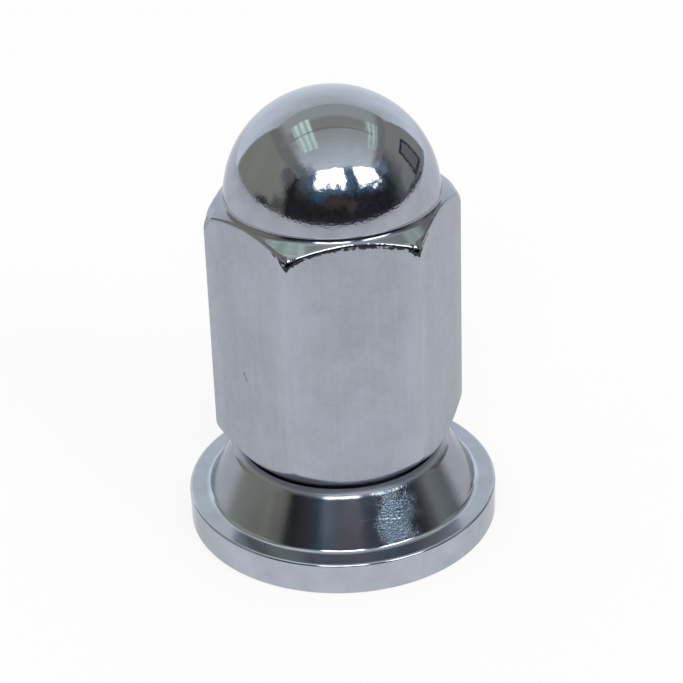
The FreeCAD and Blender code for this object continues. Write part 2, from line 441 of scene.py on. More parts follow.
# Near black: painted shade along the flats' top edge, and the dark of the nick
EDGE_SHADE_AND_NICK = (0.036, 0.039, 0.043)
EDGE_SHADE_RAGGED = (-0.45, 0.45)
EDGE_SHADE_LIMIT = (0.7, 0.95)


def finish_chrome(tree, colour, roughness, height, strength, depth=0.01, **extras):
    """The shader that every chrome finish ends in. Depth is in millimetres."""
    bump = add_node(tree, "ShaderNodeBump", Height=height, Strength=strength, Distance=depth * MM)
    shader = add_node(
        tree,
        "ShaderNodeBsdfPrincipled",
        Base_Color=colour,
        Metallic=1.0,
        Roughness=roughness,
        Specular_Tint=EDGE_TINT,
        Normal=bump.outputs["Normal"],
        **extras,
    )
    add_node(tree, "ShaderNodeOutputMaterial", Surface=shader.outputs["BSDF"])


def plated(tree, brightness, shade, marks=()):
    """Chrome, a little darker where the plate is cloudy, and with the marks laid over it."""
    clear = tuple(channel * brightness for channel in CHROME)
    cloudy = tuple(channel * CLOUDY for channel in clear)
    colour = mixed(tree, shade, clear, cloudy)
    for share, mark in marks:
        colour = mixed(tree, share, colour, mark)
    return colour


def ragged_edge_shade(tree, place):
    """Painted shade along the flats' top edge: dark, with a ragged limit."""
    edge_shade = add_node(tree, "ShaderNodeAttribute", {"attribute_name": "edge_shade"}).outputs["Fac"]
    ragged = ranged(tree, noise(tree, place, scale=2600, detail=3), SPREAD, EDGE_SHADE_RAGGED)
    return ranged(tree, added(tree, edge_shade, ragged), EDGE_SHADE_LIMIT)


DOME_FOOT = (35.5 * MM, 43.5 * MM)
DOME_HAZE = (0.035, 0.08)
DOME_FOOT_HAZE = 0.05
BRISTLE_HEIGHT = 1.9
SMOOTH_ABOVE = 0.08
CLEAR_ABOVE = 0.1


def polished_chrome():
    """The dome: polished before plating, mirror-bright above and a little rough near its foot."""
    material, tree = new_material("polished_dome")
    place = object_place(tree)
    low = ranged(tree, coordinate(tree, place, "Z"), DOME_FOOT, FALL)
    waves = noise(tree, place, scale=1300, detail=3)
    bristles = times(tree, noise(tree, place, scale=4600, detail=1), BRISTLE_HEIGHT)
    height = times(tree, added(tree, waves, bristles), added(tree, low, SMOOTH_ABOVE))
    haze = ranged(tree, noise(tree, place, scale=160, detail=3), CLOUD_SPREAD, DOME_HAZE)
    roughness = added(tree, haze, times(tree, low, DOME_FOOT_HAZE))
    cloud = ranged(tree, noise(tree, place, scale=420, detail=4), SPREAD)
    colour = plated(tree, 1, times(tree, cloud, added(tree, low, CLEAR_ABOVE)))
    finish_chrome(tree, colour, roughness, height, strength=0.45)
    return material


FLATS_BRIGHTNESS = 1.04
FLATS_HAZE = (0.28, 0.31)
DRAWN_STRETCH = (1, 1, 0.04)
CLOUD_DEPTH = (0, 0.7)
LINE_DEPTH = (0, 0.3)
MOTTLE_DEPTH = (0, 0.3)
GRAIN_DEPTH = (-0.15, 0.15)
BRIGHT_CORNER = (11.1 * MM, 11.9 * MM)
BRIGHT_CORNER_DEPTH = (0, -0.5)
NICK = ((-9.62, -4.34, 19.06), (-9.42, -4.68, 18.37))
NICK_WIDTH = 0.12
NICK_STRENGTH = 0.6


def drawn_chrome():
    """The flats: cold-drawn bar under the plate, with a fine grain, faint lines, one nick, and painted shade
    under their top edge.
    """
    material, tree = new_material("drawn_flats")
    place = object_place(tree)
    cloud = noise(tree, place, scale=170, detail=4)
    mottle = noise(tree, place, scale=1100, detail=3)
    grain = noise(tree, place, scale=3200, detail=2)
    lines = noise(tree, place, scale=2200, detail=2, stretch=DRAWN_STRETCH)
    shade = added(tree, ranged(tree, cloud, SPREAD, CLOUD_DEPTH), ranged(tree, lines, SPREAD, LINE_DEPTH))
    shade = added(tree, shade, ranged(tree, mottle, CLOUD_SPREAD, MOTTLE_DEPTH))
    shade = added(tree, shade, ranged(tree, grain, SPREAD, GRAIN_DEPTH))
    near_corner = ranged(tree, axis_distance(tree, place), BRIGHT_CORNER, BRIGHT_CORNER_DEPTH)
    nick = times(tree, scratch(tree, place, *NICK, NICK_WIDTH), NICK_STRENGTH)
    marks = ((ragged_edge_shade(tree, place), EDGE_SHADE_AND_NICK), (nick, EDGE_SHADE_AND_NICK))
    colour = plated(tree, FLATS_BRIGHTNESS, added(tree, shade, near_corner), marks)
    roughness = ranged(tree, mottle, SPREAD, FLATS_HAZE)
    finish_chrome(tree, colour, roughness, added(tree, grain, lines), strength=0.13)
    return material


STREAKS = 0.6
STREAKS_FROM = 0.4
STREAKS_TO = 0.7
RUBBED = (0.17, 0.25, 0.34)
RUBBED_STRENGTH = 0.7
RUBBED_GRAIN = 16
RUBBED_ROUGHNESS = 0.08
SCRATCHED = (0.7, 0.75, 0.8)
SCRATCH_WIDTH = 0.08
SCRATCH_STRENGTH = 0.35


def turned_chrome(name, brightness, haze, lines, blur, rubbed=None, scratches=()):
    """A turned surface: fine rings round the axis, which blur reflections across them.

    It can have a rubbed patch, given by its centre and reach in millimetres, and scratches.
    """
    material, tree = new_material(name)
    place = object_place(tree)
    level = add_node(
        tree, "ShaderNodeCombineXYZ", X=axis_distance(tree, place), Y=coordinate(tree, place, "Z")
    )
    rings = noise(tree, level.outputs["Vector"], scale=5000, detail=2)
    cloud = noise(tree, place, scale=300, detail=4)
    grain = noise(tree, place, scale=5500, detail=2)
    roughness = ranged(tree, cloud, CLOUD_SPREAD, haze)
    # Painted shade along the flats' top edge, which only the rounded edge carries
    marks = [(ragged_edge_shade(tree, place), EDGE_SHADE_AND_NICK)]
    if rubbed:
        centre, reach = (Vector(size) * MM for size in rubbed)
        patch = within(tree, place, centre, reach, ragged=0.35, scale=700)
        grain = times(tree, grain, added(tree, times(tree, patch, RUBBED_GRAIN), 1))
        roughness = added(tree, roughness, times(tree, patch, RUBBED_ROUGHNESS))
        marks.append((times(tree, patch, RUBBED_STRENGTH), RUBBED))
    for start, end in scratches:
        mark = scratch(tree, place, start, end, SCRATCH_WIDTH)
        marks.append((times(tree, mark, SCRATCH_STRENGTH), SCRATCHED))
    height = added(tree, times(tree, rings, lines), grain)
    streaked = added(tree, cloud, times(tree, rings, STREAKS * lines))
    shade = ranged(tree, streaked, (STREAKS_FROM, STREAKS_TO + STREAKS * lines))
    colour = plated(tree, brightness, shade, marks)
    tangent = add_node(tree, "ShaderNodeTangent", {"direction_type": "RADIAL", "axis": "Z"})
    finish_chrome(
        tree, colour, roughness, height, strength=0.3,
        Anisotropic=blur, Anisotropic_Rotation=0.25, Tangent=tangent.outputs["Tangent"],
    )
    return material


DULL = (0.3, 0.31, 0.33)
DULL_CLOUD = (0.2, 0.2, 0.21)
DULL_HAZE = (0.25, 0.45)


def hidden_chrome():
    """The hole and the shank, where the plate is thin and dull."""
    material, tree = new_material("dull_bore")
    place = object_place(tree)
    cloud = noise(tree, place, scale=400, detail=4)
    grain = noise(tree, place, scale=4000, detail=2)
    colour = mixed(tree, cloud, DULL, DULL_CLOUD)
    finish_chrome(tree, colour, ranged(tree, cloud, SPREAD, DULL_HAZE), grain, strength=0.3, depth=0.02)
    return material


# The nut


def corner_share(angles, width):
    """1 at the hexagon's corners, falling off over a width in degrees."""
    from_corner = np.minimum(angles % SECTOR, SECTOR - angles % SECTOR)
    return np.exp(-((from_corner / math.radians(width)) ** 2))


def edge_rounding(angles):
    """Radius of the flats' top edge: a little uneven, and most worn at the corners on both sides."""
    waves = (11, 23, 41, 67, 109, 163)
    phases = (0.3, 1.9, 4.1, 2.6, 5.2, 0.9)
    most = 1.5
    uneven = sum(np.sin(wave * angles + phase) for wave, phase in zip(waves, phases))
    uneven = np.clip(uneven / math.sqrt(len(waves)), -most, most)
    sideways = np.interp(np.abs(np.cos(angles)), (0.5, 1), (CORNER_WEAR, SIDE_CORNER_WEAR))
    at_corner = sideways * corner_share(angles, CORNER_WEAR_SPREAD)
    return CHAMFER_EDGE + CHAMFER_EDGE_WAVES * uneven + at_corner


# Where the taper's blend to the hexagon's corners starts, and the blend's centre

BLEND_CENTRE = CORNER_RADIUS - TAPER_BLEND
BLEND_START = BLEND_CENTRE + TAPER_BLEND * math.sin(TAPER_ANGLE)
BLEND_HEIGHT = FLATS_BOTTOM + BLEND_START - HALF_FLATS + TAPER_BLEND * math.cos(TAPER_ANGLE)


def taper_height(radius):
    """Height of the turned end below the flats, at each distance from the axis."""
    reach = np.clip(TAPER_BLEND**2 - (radius - BLEND_CENTRE) ** 2, 0, None)
    on_taper = FLATS_BOTTOM + radius - HALF_FLATS
    return np.where(radius <= BLEND_START, on_taper, BLEND_HEIGHT - np.sqrt(reach))


def taper_run(radius):
    """Direction of the turned end there, on the way down and in."""
    lean = np.arcsin(np.clip((radius - BLEND_CENTRE) / TAPER_BLEND, -1, 1))
    return np.where(radius <= BLEND_START, DOWN - TAPER_ANGLE, lean - IN)


def add_dome(rows, side):
    """The dome, the fillet at its foot, the chamfer, and the rounded edge where the flats start.

    Where the chamfer is narrow, the rounded edge meets the fillet itself, on a steeper slope.
    """
    top = FLATS_TOP + CHAMFER_RISE
    reach = DOME_RADIUS + NECK_FILLET
    across = HALF_FLATS * math.sin(CHAMFER_ANGLE)
    level = across + (top - DOME_CENTRE) * math.cos(CHAMFER_ANGLE) + NECK_FILLET
    polar = CHAMFER_ANGLE + math.acos(level / reach)
    neck = (reach * math.sin(polar), DOME_CENTRE + reach * math.cos(polar))
    rounding = edge_rounding(rows.angles)
    edge_out = side - rounding
    corner = top - (side - HALF_FLATS) * math.tan(CHAMFER_ANGLE)
    on_chamfer = corner - rounding * math.tan((UP - CHAMFER_ANGLE) / 2)
    apart = neck[0] - edge_out
    on_fillet = neck[1] - np.sqrt(np.maximum((NECK_FILLET + rounding) ** 2 - apart**2, 0))
    steep = np.arctan2(apart, neck[1] - on_fillet)
    narrow = steep > CHAMFER_ANGLE
    slope = np.where(narrow, steep, CHAMFER_ANGLE)
    edge_up = np.where(narrow, on_fillet, on_chamfer)
    # Shares of the painted shade along the top edge: most on the front and back flats, and at the corners'
    # tips
    tips = corner_share(rows.angles, TIP_SPREAD)
    to_front = np.abs(np.sin(rows.angles))
    edge_shading = (1 + TIP_SHADE * tips) * np.interp(to_front, EDGE_SHADE_LIMITS, LEAST_AND_FULL)
    onset = EDGE_SHADE_START + EDGE_SHADE_START_AT_TIP * tips

    def edge_shade(turn):
        return edge_shading * np.clip((np.degrees(-turn) - onset) / EDGE_SHADE_FADE, 0, 1)

    rows.arc((0, DOME_CENTRE), DOME_RADIUS, OUT, -polar, DOME_STEPS, "dome")
    rows.arc(neck, NECK_FILLET, -polar, -slope, FILLET_STEPS, "turned")
    rows.arc((edge_out, edge_up), rounding, -slope, DOWN, CHAMFER_EDGE_STEPS, "edge", edge_shade)
    rows.finishes[-1] = "flats"
    for step, share in enumerate(EDGE_SHADE_SHARES, start=1):
        rows.add(side, edge_up - step * EDGE_SHADE_STEP, (0, -1), "flats", share * edge_shading)


def add_taper(rows, side):
    """The rounded lower edge of the flats and the turned taper below it."""
    rounding = TAPER_EDGE + TAPER_CORNER_EDGE * corner_share(rows.angles, CORNER_WEAR_SPREAD)
    rows.corner((side, taper_height(side)), DOWN, taper_run(side), rounding, LARGE_EDGE_STEPS, "flats")
    rows.finishes[-1] = "rough"
    start = rows.radii[-1]
    denser_above = 1.5
    for step in range(1, TAPER_STEPS):
        share = (step / TAPER_STEPS) ** denser_above
        radius = start + (SHANK_RADIUS + LIP_EDGE - start) * share
        run = taper_run(radius)
        rows.add(radius, taper_height(radius), (np.cos(run), np.sin(run)), "rough")
    foot = (SHANK_RADIUS, FLATS_BOTTOM + SHANK_RADIUS - HALF_FLATS)
    rows.corner(foot, DOWN - TAPER_ANGLE, DOWN, LIP_EDGE, SMALL_STEPS, "hidden")


def make_nut(finishes):
    """The outside of the nut, from the top of the dome to the rim of the hole."""
    rows = Rows(hexagon_angles())
    side = hexagon_radius(rows.angles)
    add_dome(rows, side)
    add_taper(rows, side)
    rows.corner((SHANK_RADIUS, LIP_TOP), DOWN, OUT, SMALL_EDGE, SMALL_STEPS, "hidden")
    rows.corner((LIP_RADIUS, LIP_TOP), OUT, DOWN, LIP_EDGE, LIP_STEPS, "hidden")
    rows.corner((LIP_RADIUS, SHANK_LOW), DOWN, -IN, SMALL_EDGE, SMALL_STEPS, "hidden")
    rows.add(ENTRY_RADIUS + SMALL_EDGE, SHANK_LOW, (-1, 0), "hidden")
    return rows.build("nut_outside", finishes)


def thread_radius(turns):
    """Radius of the thread's wall for a number of turns along it: root, flank, crest, flank."""
    from_root = np.abs(turns % 1 - 1 / 2) - THREAD_ROOT / 2
    depth = np.clip(from_root / THREAD_FLANK, 0, 1)
    return MAJOR_RADIUS + (MINOR_RADIUS - MAJOR_RADIUS) * depth


def make_hole(finishes):
    """The threaded hole: entry chamfer, right-hand thread and drill point."""
    rows = Rows(even_angles(HOLE_COLUMNS))
    into_entry = -IN - ENTRY_ANGLE
    rows.corner((ENTRY_RADIUS, SHANK_LOW), -IN, into_entry, SMALL_EDGE, SMALL_STEPS, "hidden")
    low = SHANK_LOW + ENTRY_RADIUS - MAJOR_RADIUS
    high = BORE_TOP - THREAD_PITCH
    for step in range(THREAD_STEPS + 1):
        height = low + (high - low) * step / THREAD_STEPS
        fade = min(1, (high - height) / THREAD_PITCH)
        turns = height / THREAD_PITCH - rows.angles / (2 * math.pi)
        wall = MINOR_RADIUS + (thread_radius(turns) - MINOR_RADIUS) * fade
        entry = ENTRY_RADIUS - (height - SHANK_LOW)
        rows.add(np.maximum(wall, entry), height, (0, 1), "hidden")
    into_point = UP + DRILL_POINT_HALF_ANGLE
    rows.corner((MINOR_RADIUS, BORE_TOP), UP, into_point, SMALL_EDGE, SMALL_STEPS, "hidden")
    rows.add(0, BORE_TOP + MINOR_RADIUS / math.tan(DRILL_POINT_HALF_ANGLE), (-1, 0), "hidden")
    return rows.build("nut_hole", finishes, measured=True)


def make_washer(finishes):
    """The cone washer: a closed turned ring, from its bore up, over and round to its bore again."""
    rows = Rows(even_angles(WASHER_COLUMNS))
    slope = math.atan2(FLANGE_THICKNESS - WASHER_HEIGHT, CONE_FOOT - CONE_TOP)
    seat_foot = WASHER_HEIGHT - (SEAT_RADIUS - BORE_RADIUS)
    up_again = UP - 2 * math.pi
    rim = (CONE_TOP + CONE_TOP_EDGE * math.tan(slope / 2), WASHER_HEIGHT - CONE_TOP_EDGE)
    past_seat = rim[0] + CONE_TOP_EDGE - SEAT_RADIUS
    seat_edge = (math.sqrt(2 * CONE_TOP_EDGE**2 - past_seat**2) - past_seat) / 2
    lean = math.asin(seat_edge / CONE_TOP_EDGE)
    edge_end = lean + SMALL_EDGE * math.tan((TAPER_ANGLE + lean) / 2) / CONE_TOP_EDGE
    edge_corner = (rim[0] + seat_edge, rim[1] + seat_edge + past_seat)
    onto_rim = -(lean + edge_end) / 2
    rows.corner((BORE_RADIUS, seat_foot), UP, TAPER_ANGLE, LIP_EDGE, SMALL_STEPS, "rough")
    rows.corner(edge_corner, TAPER_ANGLE, onto_rim, SMALL_EDGE, SMALL_STEPS, "rough")
    rows.arc(rim, CONE_TOP_EDGE, -edge_end, -RIM_SHINE, EDGE_STEPS, "rough")
    rows.arc(rim, CONE_TOP_EDGE, -RIM_SHINE, slope, EDGE_STEPS, "cone")
    rows.corner((CONE_FOOT, FLANGE_THICKNESS), slope, OUT, CONE_FOOT_FILLET, EDGE_STEPS, "side")
    rows.finishes[-1] = "flat"
    rows.corner((FLANGE_RADIUS, FLANGE_THICKNESS), OUT, DOWN, FLANGE_EDGE, LARGE_EDGE_STEPS, "side")
    rows.corner((FLANGE_RADIUS, 0), DOWN, -IN, FLANGE_FOOT_EDGE, EDGE_STEPS, "side")
    rows.finishes[-1] = "flat"
    for corner, before, after in (
        ((COUNTERBORE_RADIUS, 0), -IN, up_again),
        ((COUNTERBORE_RADIUS, COUNTERBORE_DEPTH), up_again, -IN),
        ((BORE_RADIUS, COUNTERBORE_DEPTH), -IN, up_again),
    ):
        rows.corner(corner, before, after, SMALL_EDGE, SMALL_STEPS, "hidden")
    return rows.build("washer_turned", finishes, closed=True)


# The stage, in metres: the sheet that the nut stands on, and the room that it reflects

WHITE = (1, 1, 1)
FLOOR_DROP = 0.02 * MM
FLOOR_SIZE = (6, 4)
SHEET_FRONT = -0.3
SHEET_BACK_FADE = (0, 0.35)
SHEET_LEFT_FADE = (-0.3, -0.05)
SHEET_FRONT_FADE = (-0.3, -0.05)
# The sheet's colours in reflections, with painted shade: darker in front and on the left
SHEET_SHADE = (0.97, 0.98, 1.0)
SHEET_FRONT_SHADE = (0.68, 0.68, 0.7)
SHEET_LEFT_SHADE = (0.84, 0.86, 0.88)
SHEET_CLOTH = (0.95, 0.95, 0.95, 1)
SHEET_GLOW = 0.8

ROOM_HEIGHT = 1.6
ROOM_LOW = -0.6
FRONT_WALL = -1.18
LEFT_WALL = -1.54
RIGHT_WALL = 1.79
BACK_WALL = 2.0
FRONT_FLOOR = -0.3
FADE_UNEVEN = (-0.1, 0.1)
PANE_STEPS = 8

# What hangs on a wall or under the ceiling stands this much before it

LAYER = 0.01

BACKDROP_Y = 0.45
BACKDROP_TOP = 0.53
BACKDROP_FADE = (0.1, BACKDROP_TOP)
BACKDROP_LEFT = -0.41
BACKDROP_RIGHT = 0.62
BACKDROP_FOOT = (1.16, 1.25, 1.36)
BACKDROP_HEAD = (0.78, 0.81, 0.8)

WINDOW_LOW = 0.84
WINDOW_TOP = 1.53
WINDOW_SOFT = 0.02
WINDOW_RADIANCE = 6.0
LEFT_WINDOW = (-0.68, 0.19)
RIGHT_WINDOW = (0.54, 1.42)

# Lamps and a beam under the ceiling: their corner, and then their width and depth

LAMP_HEIGHT = ROOM_HEIGHT - LAYER
BEAM_HEIGHT = LAMP_HEIGHT - LAYER
LEFT_LAMP = ((-0.88, -0.35), (0.5, 0), (0, 1.14))
RIGHT_LAMP = ((0.96, -0.4), (0.42, 0), (0, 1.06))
BEAM = ((-1.07, 0.26), (2.29, -0.11), (0, 0.04))
LAMP_STRIPES = 1.9
LAMP_SPREAD = (0.1, 0.7)

# The dark picture frame on the right wall: its corner, its size and its bars

PICTURE_Y, PICTURE_Z = 0.12, 0.16
PICTURE_WIDTH, PICTURE_HEIGHT = 0.6, 0.78
PICTURE_BAR = 0.08
PICTURE_X = RIGHT_WALL - LAYER
FRAME_X = PICTURE_X - LAYER


def pane(name, corner, width, height, material):
    """A flat four-sided stage piece from one corner and its two sides, as a fine grid."""
    vertices = []
    for row in range(PANE_STEPS + 1):
        for column in range(PANE_STEPS + 1):
            across = Vector(width) * column / PANE_STEPS
            vertices.append(tuple(Vector(corner) + across + Vector(height) * row / PANE_STEPS))
    line = PANE_STEPS + 1
    faces = []
    for row in range(PANE_STEPS):
        for column in range(PANE_STEPS):
            first = row * line + column
            faces.append((first, first + 1, first + line + 1, first + line))
    mesh = bpy.data.meshes.new(name)
    mesh.from_pydata(vertices, [], faces)
    mesh.materials.append(material)
    thing = linked(name, mesh)
    return thing


def emit(tree, colour, strength=1):
    glow = add_node(tree, "ShaderNodeEmission", Color=colour, Strength=strength)
    add_node(tree, "ShaderNodeOutputMaterial", Surface=glow.outputs["Emission"])


def glowing(name, colour):
    """A plain light colour, for what only reflections see."""
    material, tree = new_material(name)
    emit(tree, (*colour, 1))
    return material


def in_view(tree, path):
    """1 for the rays that show things: from the camera, off metal and through glass."""
    seen = added(tree, path.outputs["Is Camera Ray"], path.outputs["Is Glossy Ray"])
    return added(tree, seen, path.outputs["Is Transmission Ray"])


def blended(tree, share, first, second):
    """Two shaders mixed."""
    mix = add_node(tree, "ShaderNodeMixShader", Fac=share)
    for number, shader in ((1, first), (2, second)):
        tree.links.new(shader, mix.inputs[number])
    return mix.outputs["Shader"]


def sheet_material():
    """White sheet: it keeps the nut's soft shadow. In reflections it has painted shade, darker in front and
    on the left, and it fades into the backdrop's foot at the back.
    """
    material, tree = new_material("white_sheet")
    path = add_node(tree, "ShaderNodeLightPath")
    place = object_place(tree)
    back = ranged(tree, coordinate(tree, place, "Y"), SHEET_BACK_FADE)
    left = ranged(tree, coordinate(tree, place, "X"), SHEET_LEFT_FADE, FALL)
    # Painted shade on the sheet in reflections: darker in front and on the left
    shown = faded(tree, place, "Y", SHEET_FRONT_FADE, SHEET_FRONT_SHADE, SHEET_SHADE)
    shown = mixed(tree, back, shown, BACKDROP_FOOT)
    shown = mixed(tree, left, shown, SHEET_LEFT_SHADE)
    shown = mixed(tree, path.outputs["Is Camera Ray"], shown, WHITE)
    cloth = add_node(tree, "ShaderNodeBsdfDiffuse", Color=SHEET_CLOTH)
    glow = add_node(tree, "ShaderNodeEmission", Color=shown, Strength=1)
    share = times(tree, in_view(tree, path), SHEET_GLOW)
    sheet = blended(tree, share, cloth.outputs["BSDF"], glow.outputs["Emission"])
    clear = add_node(tree, "ShaderNodeBsdfTransparent")
    side = add_node(tree, "ShaderNodeNewGeometry")
    from_below = times(tree, side.outputs["Backfacing"], path.outputs["Is Camera Ray"])
    surface = blended(tree, from_below, sheet, clear.outputs["BSDF"])
    add_node(tree, "ShaderNodeOutputMaterial", Surface=surface)
    return material


def make_floor():
    """The pale sheet under the object."""
    width, depth = FLOOR_SIZE
    pane("floor", (-width / 2, SHEET_FRONT, -FLOOR_DROP), (width, 0, 0), (0, depth, 0), sheet_material())


def reflected_only(thing):
    """Shown in reflections alone: it neither blocks the soft light nor fills the view."""
    thing.visible_camera = False
    thing.visible_diffuse = False
    thing.visible_shadow = False
    thing.visible_transmission = False
    thing.visible_volume_scatter = False


def faded(tree, place, axis, spread, near, far):
    """One colour that fades into another between two places along an axis, unevenly."""
    uneven = ranged(tree, noise(tree, place, scale=5, detail=3), SPREAD, FADE_UNEVEN)
    along = added(tree, coordinate(tree, place, axis), uneven)
    return mixed(tree, ranged(tree, along, spread), near, far)


def blotch(tree, place, base, centre, reach, colour, ragged=0.3, scale=8):
    """A soft patch of another colour."""
    return mixed(tree, within(tree, place, centre, reach, ragged, scale), base, colour)


def wall_material(name, fade, patches=()):
    """A dull wall: one fade along it, and soft patches, each with a centre, a reach and a colour."""
    material, tree = new_material(name)
    place = object_place(tree)
    colour = faded(tree, place, *fade)
    for patch in patches:
        colour = blotch(tree, place, colour, *patch)
    emit(tree, colour)
    return material


def between(tree, value, low, high, soft):
    """1 where the value lies between two limits, with soft ends."""
    rise = ranged(tree, value, (low - soft, low + soft))
    fall = ranged(tree, value, (high - soft, high + soft), FALL)
    return times(tree, rise, fall)


# Colours and dim shapes on the dark side of the room

DARK = (0.03, 0.03, 0.034)
DARKEST = (0.014, 0.014, 0.017)
DARK_GREY = (0.075, 0.075, 0.08)
DEEP_BLUE = (0.09, 0.19, 0.34)
PALE_BLUE = (0.5, 0.6, 0.7)
TEAL = (0.04, 0.13, 0.18)
BROWN = (0.12, 0.085, 0.075)
GLINT = (0.9, 1.0, 1.15)
GLINT_STRENGTH = 0.6
GLINT_SPREAD = (0.56, 0.64)
FOLIAGE_SPREAD = (0.42, 0.66)
BUSH_SPREAD = (0.35, 0.65)
BUSH_HEIGHTS = (-0.16, 0.2)
FRONT_SHAPES = (
    ((-0.15, FRONT_WALL, 0.42), (0.3, 1, 0.14), BROWN),
    ((0.25, FRONT_WALL, 0.3), (0.14, 1, 0.16), BROWN),
    ((-0.56, FRONT_WALL, 0.6), (0.22, 1, 0.2), TEAL),
    ((-0.1, FRONT_WALL, 0.72), (0.5, 1, 0.12), DEEP_BLUE),
    ((0.9, FRONT_WALL, 0.7), (0.5, 1, 0.13), DEEP_BLUE),
    ((0.33, FRONT_WALL, 1.1), (0.2, 1, 0.5), DEEP_BLUE),
    ((-1.1, FRONT_WALL, 1.3), (0.5, 1, 0.5), (0.16, 0.18, 0.2)),
    ((-0.8, FRONT_WALL, 1.1), (0.2, 1, 0.4), DEEP_BLUE),
    ((1.6, FRONT_WALL, 1.25), (0.25, 1, 0.45), (0.12, 0.18, 0.26)),
    ((0.3, FRONT_WALL, 1.62), (1.9, 1, 0.22), PALE_BLUE),
)


def glinting(tree, place, across, up):
    """Small bright specks among the foliage near the windows."""
    specks = ranged(tree, noise(tree, place, scale=34, detail=3), GLINT_SPREAD)
    beside = between(tree, up, low=0.62, high=1.5, soft=0.15)
    wide = between(tree, across, low=-1.1, high=1.6, soft=0.2)
    return times(tree, times(tree, specks, times(tree, beside, wide)), GLINT_STRENGTH)


def window_glass(tree, place, across, up):
    """1 in the two windows, whose lower limit is ragged, with bushes in front of it."""
    bushes = ranged(tree, noise(tree, place, scale=7, detail=4), BUSH_SPREAD, BUSH_HEIGHTS)
    above = calculated(tree, "SUBTRACT", up, bushes)
    above = ranged(tree, above, (WINDOW_LOW - WINDOW_SOFT, WINDOW_LOW + WINDOW_SOFT))
    below = ranged(tree, up, (WINDOW_TOP - WINDOW_SOFT / 2, WINDOW_TOP + WINDOW_SOFT / 2), FALL)
    left = between(tree, across, *LEFT_WINDOW, WINDOW_SOFT)
    right = between(tree, across, *RIGHT_WINDOW, WINDOW_SOFT)
    return times(tree, added(tree, left, right), times(tree, above, below))


def front_material():
    """The dark side of the room: two bright windows, with foliage and dim shapes round them."""
    material, tree = new_material("front_of_room")
    place = object_place(tree)
    across = coordinate(tree, place, "X")
    up = coordinate(tree, place, "Z")
    speckle = ranged(tree, noise(tree, place, scale=16, detail=5), FOLIAGE_SPREAD)
    shown = mixed(tree, speckle, DARKEST, DARK_GREY)
    for shape in FRONT_SHAPES:
        shown = blotch(tree, place, shown, *shape, ragged=0.6, scale=20)
    shown = mixed(tree, glinting(tree, place, across, up), shown, GLINT)
    glass = window_glass(tree, place, across, up)
    shown = mixed(tree, glass, shown, WHITE)
    emit(tree, shown, ranged(tree, glass, RISE, (1, WINDOW_RADIANCE)))
    return material


LAMP_DARK = (0.6, 0.68, 0.62)
LAMP_BRIGHT = (0.95, 1.15, 1.02)


def lamp_material(name, brightness):
    """A ceiling lamp with long louvres."""
    material, tree = new_material(name)
    stripes = add_node(
        tree, "ShaderNodeTexWave", {"bands_direction": "X"},
        Vector=object_place(tree), Scale=LAMP_STRIPES, Distortion=0.6,
    )
    bars = ranged(tree, stripes.outputs["Fac"], LAMP_SPREAD)
    emit(tree, mixed(tree, bars, LAMP_DARK, LAMP_BRIGHT), brightness)
    return material


# Colours of the dull walls, and how ragged the limit of their plainest patches is

OLIVE = (0.44, 0.43, 0.36)
OLIVE_GREY = (0.34, 0.34, 0.31)
OLIVE_HEAD = (0.4, 0.4, 0.36)
WALL_GREY = (0.34, 0.35, 0.35)
# Near black, for the picture's frame and the floor in front of the sheet
NEAR_BLACK = (0.04, 0.04, 0.045)
BEAM_GREY = (0.3, 0.3, 0.3)
PRINT_GREY = (0.25, 0.26, 0.28)
EVEN = 0.05


def ceiling_material():
    """The ceiling, brightest over the windows."""
    top = ROOM_HEIGHT
    return wall_material(
        "ceiling",
        ("Y", (-1.1, 0.0), (1.0, 1.08, 1.1), (0.6, 0.61, 0.59)),
        (
            ((LEFT_WALL, 0, top), (0.5, 3, 1), OLIVE_GREY, EVEN),
            ((RIGHT_WALL, 0, top), (0.5, 3, 1), WALL_GREY, EVEN),
            ((0, BACKDROP_Y, top), (1.5, 0.3, 1), (0.44, 0.44, 0.41), EVEN),
            ((LEFT_WALL, FRONT_WALL, top), (0.8, 0.6, 1), (0.26, 0.28, 0.3)),
            ((RIGHT_WALL, FRONT_WALL, top), (0.4, 0.4, 1), PALE_BLUE),
        ),
    )


def left_wall_material():
    """The olive wall on the left."""
    return wall_material(
        "olive_wall",
        ("Y", (-0.95, -0.55), DARK, OLIVE),
        (
            ((LEFT_WALL, -0.1, 0.03), (1, 0.4, 0.16), (0.05, 0.07, 0.08)),
            ((LEFT_WALL, -0.6, 0.2), (1, 0.28, 0.25), (0.16, 0.16, 0.14)),
            ((LEFT_WALL, -0.7, 1.3), (1, 0.35, 0.5), (0.2, 0.2, 0.2)),
            ((LEFT_WALL, 0, 1.6), (1, 4, 0.2), OLIVE_GREY, EVEN),
        ),
    )


def right_wall_material():
    """The grey wall on the right."""
    return wall_material(
        "grey_wall",
        ("Y", (-1.0, 0.0), (0.05, 0.055, 0.065), (0.41, 0.41, 0.38)),
        (
            ((RIGHT_WALL, -0.95, 1.4), (1, 0.3, 0.4), (0.26, 0.34, 0.44)),
            ((RIGHT_WALL, -0.2, 0.3), (1, 0.35, 0.4), (0.37, 0.4, 0.41)),
            ((RIGHT_WALL, 0.0, 0.02), (1, 0.7, 0.12), (0.1, 0.1, 0.11)),
        ),
    )


